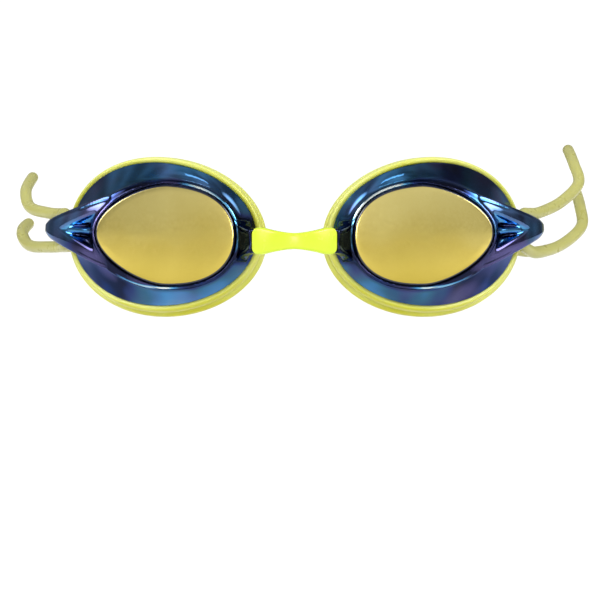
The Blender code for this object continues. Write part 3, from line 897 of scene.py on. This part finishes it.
def gasket_profile(depth):
    """Give the gasket's section: outwards from the rim, back from the rim, share of the drop."""
    lip = GASKET_LIP_FLARE
    inner = -TONGUE_INSET + GAP
    step = TONGUE_DEPTH + GAP
    return (
        (-0.1 * MM, GAP, 0.0), (0.55 * MM, GAP, 0.0), (1.0 * MM, 0.12 * depth, 0.05),
        (1.25 * MM, 0.26 * depth, 0.2), (1.15 * MM, 0.4 * depth, 0.3),
        (0.6 * MM, 0.51 * depth, 0.4), (-0.1 * MM, 0.58 * depth, 0.5),
        (0.2 * MM, 0.64 * depth, 0.6), (1.4 * MM, 0.67 * depth, 0.8),
        (lip - 0.3 * MM, 0.74 * depth, 1.0), (lip, 0.83 * depth, 1.0),
        (lip - 0.5 * MM, 0.94 * depth, 1.0), (1.0 * MM, depth, 1.0), (-0.8 * MM, 0.99 * depth, 1.0),
        (-2.2 * MM, 0.9 * depth, 0.9), (-2.6 * MM, 0.74 * depth, 0.6),
        (-2.5 * MM, 0.55 * depth, 0.4), (-2.3 * MM, step + 0.3 * MM, 0.0), (-2.1 * MM, step, 0.0),
        (inner - 0.2 * MM, step, 0.0), (inner, step - 0.2 * MM, 0.0), (inner, 2 * GAP, 0.0),
    )


def make_gasket(surface):
    """Build the right gasket as a ring behind the eyecup's rim, over its tongue."""
    sections = []
    for turn in turns(192):
        depth = GASKET_END_DEPTH + GASKET_MIDDLE_EXTRA * math.sin(turn) ** 2
        profile = [np.array(row) for row in gasket_profile(depth)]
        closed = profile[-1:] + profile + profile[:2]
        section = []
        for index in range(1, len(profile) + 1):
            for share in (0.0, 0.5):
                grow, back, drop = through(closed, share, index)
                out, up = rim_outline(turn, grow)
                section.append(on_eyecup(out, up - GASKET_LIP_DROP * drop, rim_depth(turn) + back))
        sections.append(section)
    return piece("gasket_seal_right", *ring_shaped(sections), surface)


def bridge_height(angle):
    """Give half the bridge's height, which grows from its waist to its pads."""
    reach = min(1.0, ARCH_RADIUS * math.sin(abs(angle)) / PAD_REACH)
    return WAIST_HALF_HEIGHT + (PAD_HALF_HEIGHT - WAIST_HALF_HEIGHT) * reach ** 1.6


def make_bridge_half(surface):
    """Build the right half of the nose bridge with its pad and headed pin."""
    inside = ARCH_RADIUS - ARCH_THICKNESS
    sections = []
    steps = 24
    round_start = 0.86
    shares = [0.0, 0.001] + [k / steps for k in range(1, steps + 1)]
    for share in shares:
        angle = ARCH_END * round_start * share
        sections.append(arch_section(angle, inside, ARCH_RADIUS, bridge_height(angle), 0.8 * MM))
    for k in range(1, 9):
        turn = 0.5 * math.pi * k / 8
        angle = ARCH_END * (round_start + (1 - round_start) * math.sin(turn))
        lost = 2.0 * MM * (1 - math.cos(turn))
        thin = 0.45 * MM * (1 - math.cos(turn)) ** 2
        sections.append(arch_section(angle, inside + thin, ARCH_RADIUS - thin,
                                     bridge_height(angle) - lost, 0.8 * MM))
    bridge = piece("bridge_half_right", *lofted(sections), surface)
    head_outside = TAB_PLATE_OUTSIDE - TAB_PLATE_THICKNESS - GAP
    pin = radial_block(PIN_ANGLE, head_outside - HEAD_THICKNESS / 2, inside + ARCH_THICKNESS / 2,
                       PIN_HALF_WIDTH, PIN_HALF_HEIGHT)
    head = radial_block(PIN_ANGLE, head_outside - HEAD_THICKNESS, head_outside,
                        PIN_HALF_WIDTH + HEAD_OVERHANG, PIN_HALF_HEIGHT + HEAD_OVERHANG)
    combine(bridge, piece("tool", *pin), "UNION")
    combine(bridge, piece("tool", *head), "UNION")
    return bridge


# The strap's route on each side, from the clip by way of the upper cord, round the bar and back
# along the lower cord: distance from the middle, distance behind the lens edge, height, in mm.
# It arches over the temples, higher on the right.
STRAP_ROUTES = {
    "left": (
        (0.2, 177.0, -2.1), (9.0, 177.0, -2.1), (20.0, 176.3, -1.9), (39.0, 170.5, 0.0),
        (58.5, 158.5, 3.2), (73.0, 144.0, 5.6), (81.2, 131.0, 7.3), (87.2, 118.0, 9.2),
        (87.7, 105.0, 14.4), (84.2, 85.0, 18.4), (85.0, 65.0, 13.9), (82.8, 53.0, 8.7),
        (76.2, 41.0, 6.8), (72.2, 34.8, 6.5), (70.4, 30.6, 6.4), (69.6, 28.8, 4.6),
        (69.4, 28.3, 1.9), (69.6, 28.8, -0.8), (70.4, 30.6, -2.8), (72.2, 34.8, -3.5),
        (76.0, 41.0, -3.7), (82.9, 53.0, -3.3), (86.2, 65.0, 0.4), (85.5, 84.5, 3.6),
        (88.9, 104.0, 1.2), (87.2, 116.0, -3.4), (80.9, 129.0, -4.0), (72.5, 142.0, -3.8),
        (57.5, 155.5, -3.3), (38.5, 166.3, -2.6), (20.0, 171.5, -2.1), (9.0, 172.2, -2.1),
        (0.2, 172.2, -2.1),
    ),
    "right": (
        (0.2, 177.0, -2.1), (9.0, 177.0, -2.1), (20.0, 176.3, -1.9), (39.0, 172.4, -0.4),
        (58.0, 165.0, 2.2), (73.0, 155.0, 4.7), (81.5, 146.0, 7.2), (88.7, 135.5, 11.0),
        (93.7, 123.5, 17.1), (91.5, 113.0, 23.3), (88.3, 93.5, 27.4), (88.9, 75.0, 22.6),
        (89.7, 65.5, 16.3), (83.4, 54.0, 10.3), (76.0, 41.0, 7.0), (72.2, 34.8, 6.6),
        (70.4, 30.6, 6.5), (69.6, 28.8, 4.7), (69.4, 28.3, 1.9), (69.6, 28.8, -0.8),
        (70.4, 30.6, -3.0), (72.2, 34.8, -4.6), (75.8, 41.0, -5.4), (83.8, 53.5, -2.9),
        (90.6, 65.0, 2.7), (90.9, 75.0, 9.0), (90.8, 93.0, 13.8), (93.4, 111.0, 9.3),
        (94.5, 120.0, 2.8), (88.9, 131.0, -3.1), (80.6, 142.0, -5.6), (72.0, 152.0, -4.9),
        (57.0, 161.0, -3.7), (38.5, 168.0, -2.7), (20.0, 171.5, -2.1), (9.0, 172.2, -2.1),
        (0.2, 172.2, -2.1),
    ),
}


def make_strap(name, side, surface):
    """Sweep one half of the strap as a round cord."""
    route = [Vector((side * x * MM, back * MM - LENS_FORWARD, z * MM))
             for x, back, z in STRAP_ROUTES[name]]
    centres = []
    for index in range(len(route) - 1):
        steps = max(2, math.ceil((route[index + 1] - route[index]).length / (1.0 * MM)))
        centres += [through(route, step / steps, index) for step in range(steps)]
    centres.append(route[-1])
    rings = []
    normal = Vector((0, 0, 1))
    for k, centre in enumerate(centres):
        ahead = centres[min(k + 1, len(centres) - 1)] - centres[max(k - 1, 0)]
        ahead.normalize()
        normal = (normal - ahead * normal.dot(ahead)).normalized()
        beside = ahead.cross(normal)
        rings.append([
            centre + (normal * math.cos(turn) + beside * math.sin(turn)) * STRAP_RADIUS
            for turn in turns(24)
        ])
    return piece(f"strap_cord_{name}", *lofted(rings), surface)


def make_clip(surface):
    """Build the sleeve clip: round edges and two channels with flared mouths."""
    low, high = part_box("rear_clip")
    low, high = Vector(low), Vector(high)
    middle = (low + high) / 2
    half = (high - low) / 2
    rings = []
    count = 12
    for k in range(count + 1):
        share = 2 * k / count - 1
        x = half.x * share
        ease = 1 - 0.06 * abs(share) ** 6
        ring = []
        for turn in turns(64):
            y = half.y * ease * math.copysign(abs(math.cos(turn)) ** 0.3, math.cos(turn))
            z = half.z * ease * math.copysign(abs(math.sin(turn)) ** 0.45, math.sin(turn))
            ring.append(middle + Vector((x, y, z)))
        rings.append(ring)
    clip = piece("clip_sleeve", *lofted(rings), surface)
    channel = STRAP_RADIUS + GAP
    mouth = channel + 0.2 * MM
    depths = ((-half.x - 1 * MM, mouth), (-half.x, mouth), (-half.x + 3 * MM, channel),
              (half.x - 3 * MM, channel), (half.x, mouth), (half.x + 1 * MM, mouth))
    for offset in (-STRAP_PITCH / 2, STRAP_PITCH / 2):
        rings = [
            [middle + Vector((x, offset + radius * math.cos(turn), radius * math.sin(turn)))
             for turn in turns(32)]
            for x, radius in depths
        ]
        combine(clip, piece("tool", *lofted(rings)), "DIFFERENCE")
    return clip


# The studio

def area_light(name, place, size, power):
    """Hang a softbox that faces the goggles."""
    lamp = bpy.data.lights.new(name, "AREA")
    lamp.shape = "RECTANGLE"
    lamp.size, lamp.size_y = size
    lamp.energy = power
    made = bpy.data.objects.new(name, lamp)
    made.location = place
    made.rotation_euler = (-Vector(place)).to_track_quat("-Z", "Y").to_euler()
    bpy.context.scene.collection.objects.link(made)


def window(tree, direction, toward):
    """Give a bright, soft-edged patch of a studio wall around a direction."""
    aim = tree.nodes.new("ShaderNodeVectorMath")
    aim.operation = "DOT_PRODUCT"
    aim.inputs[1].default_value = Vector(toward).normalized()
    tree.links.new(direction, aim.inputs[0])
    return spread(tree, aim.outputs["Value"], 0.0, WINDOW_STRENGTH, 0.90, 0.97)


def make_world():
    """Surround the goggles with white, which reflections see as soft, uneven studio walls."""
    world = bpy.data.worlds.new("studio")
    world.use_nodes = True
    tree = world.node_tree
    background = tree.nodes["Background"]
    coords = tree.nodes.new("ShaderNodeTexCoord")
    blotches = tree.nodes.new("ShaderNodeTexNoise")
    blotches.inputs["Scale"].default_value = 2.2
    blotches.inputs["Detail"].default_value = 1.5
    tree.links.new(coords.outputs["Generated"], blotches.inputs["Vector"])
    uneven = spread(tree, blotches.outputs["Fac"], 0.2, 0.85, 0.38, 0.66)
    depth = coordinate(tree, "Generated", "Y")
    dimmer_behind = spread(tree, depth, 1.0, 0.5, -0.2, 0.7)
    walls = arithmetic(tree, "MULTIPLY", uneven, dimmer_behind)
    for toward in ((-0.8, -0.4, 0.45), (0.8, -0.4, 0.45)):
        walls = arithmetic(tree, "ADD", walls, window(tree, coords.outputs["Generated"], toward))
    straight_ahead = spread(tree, depth, 1.0, 0.0, -0.99, -0.8)
    reflected = mix(tree, "FLOAT", straight_ahead, walls, 1.0)
    rays = tree.nodes.new("ShaderNodeLightPath")
    seen = mix(tree, "FLOAT", rays.outputs["Is Glossy Ray"], 1.08, reflected)
    tree.links.new(seen, background.inputs["Strength"])
    background.inputs["Color"].default_value = (1, 1, 1, 1)
    bpy.context.scene.world = world
    bpy.context.scene.view_settings.view_transform = "Standard"


def make_studio():
    """Add the surroundings, a pale floor and soft lights."""
    make_world()
    mesh = bpy.data.meshes.new("floor")
    reach, height = 40.0, cad_box[0][2] - 60 * MM
    mesh.from_pydata([(-reach, -reach, height), (reach, -reach, height), (reach, reach, height),
                      (-reach, reach, height)], [], [(0, 1, 2, 3)])
    floor = bpy.data.objects.new("floor", mesh)
    bpy.context.scene.collection.objects.link(floor)
    made, tree, shader = new_material("floor_paint")
    colour = ramp(tree, noise(tree, 8.0), ((0.3, (0.95, 0.95, 0.95)), (0.7, (0.97, 0.97, 0.97))))
    tree.links.new(colour, shader.inputs["Base Color"])
    shader.inputs["Roughness"].default_value = 0.9
    mesh.materials.append(made)
    area_light("top_box", (0.0, -0.5, 0.8), (0.35, 0.12), 0.35)
    area_light("left_box", (-0.75, -0.6, 0.5), (0.5, 0.5), 4.5)
    area_light("right_box", (0.75, -0.6, 0.5), (0.5, 0.5), 4.5)
    area_light("front_box", (0.0, -1.7, 0.1), (0.25, 0.2), 3.0)


def make_camera():
    """Set the camera level with the lenses, in front of the goggles."""
    lens = bpy.data.cameras.new("camera")
    distance = 1.2
    width = 180 * MM
    lens.sensor_width = 36.0
    lens.lens = 36.0 * distance / width
    lens.clip_end = 50.0
    camera = bpy.data.objects.new("camera", lens)
    camera.location = (1.65 * MM, -distance - LENS_FORWARD, 0.0)
    below = 19.5 * MM
    camera.rotation_euler = (math.radians(90) - math.atan(below / distance), 0, 0)
    bpy.context.scene.collection.objects.link(camera)
    bpy.context.scene.camera = camera


def build():
    """Build every piece, and tie the eyecups' pieces and the clip to their bodies."""
    gold, edge, blue = mirror_gold(), lens_edge(), tinted_blue()
    # Each rubber's deep and pale colours are its painted shade and painted light, blended by which way
    # it faces and by random tone
    seal = silicone("seal_silicone", (0.38, 0.37, 0.005), (0.55, 0.58, 0.17), 0.38, 0.5, 3 * MM)
    # The neon bridge gets a painted glow
    neon = silicone("bridge_neon", (0.45, 0.57, 0.02), (0.49, 0.61, 0.03), 0.25, 0.0, 1 * MM,
                    painted_glow=0.05)
    cord = silicone("strap_silicone", (0.29, 0.28, 0.075), (0.38, 0.37, 0.12), 0.3, 0.3, 1 * MM)
    clear = silicone("clip_plastic", (0.50, 0.52, 0.2), (0.58, 0.6, 0.26), 0.2, 0.3, 1 * MM)
    parts = (
        (make_eyecup(blue), "eyecup_shell", "eyecup", "eyecup_plastic"),
        (make_lens(gold, edge), "lens_pane", "lens", "lens_mirror"),
        (make_gasket(seal), "gasket_seal", "gasket", "gasket_silicone"),
    )
    for right, label, node, slot in parts:
        left = mirrored(f"{label}_left", right)
        for made, name in ((left, "left"), (right, "right")):
            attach(made, f"{name}_eyecup")
            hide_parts(f"{node}_{name}")
    bridge = make_bridge_half(neon)
    bridges = {"left": mirrored("bridge_half_left", bridge), "right": bridge}
    for name, side in (("left", -1), ("right", 1)):
        half = bridges[name]
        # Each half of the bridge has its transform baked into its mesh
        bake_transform(half)
        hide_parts("nose_bridge")
        # Each half of the strap is swept as a round cord from behind the temple to the strap arm
        strap = make_strap(name, side, cord)
        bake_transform(strap)
        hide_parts(f"strap_{name}")
    clip = make_clip(clear)
    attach(clip, "clip")
    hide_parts("rear_clip")


build()
make_studio()
make_camera()
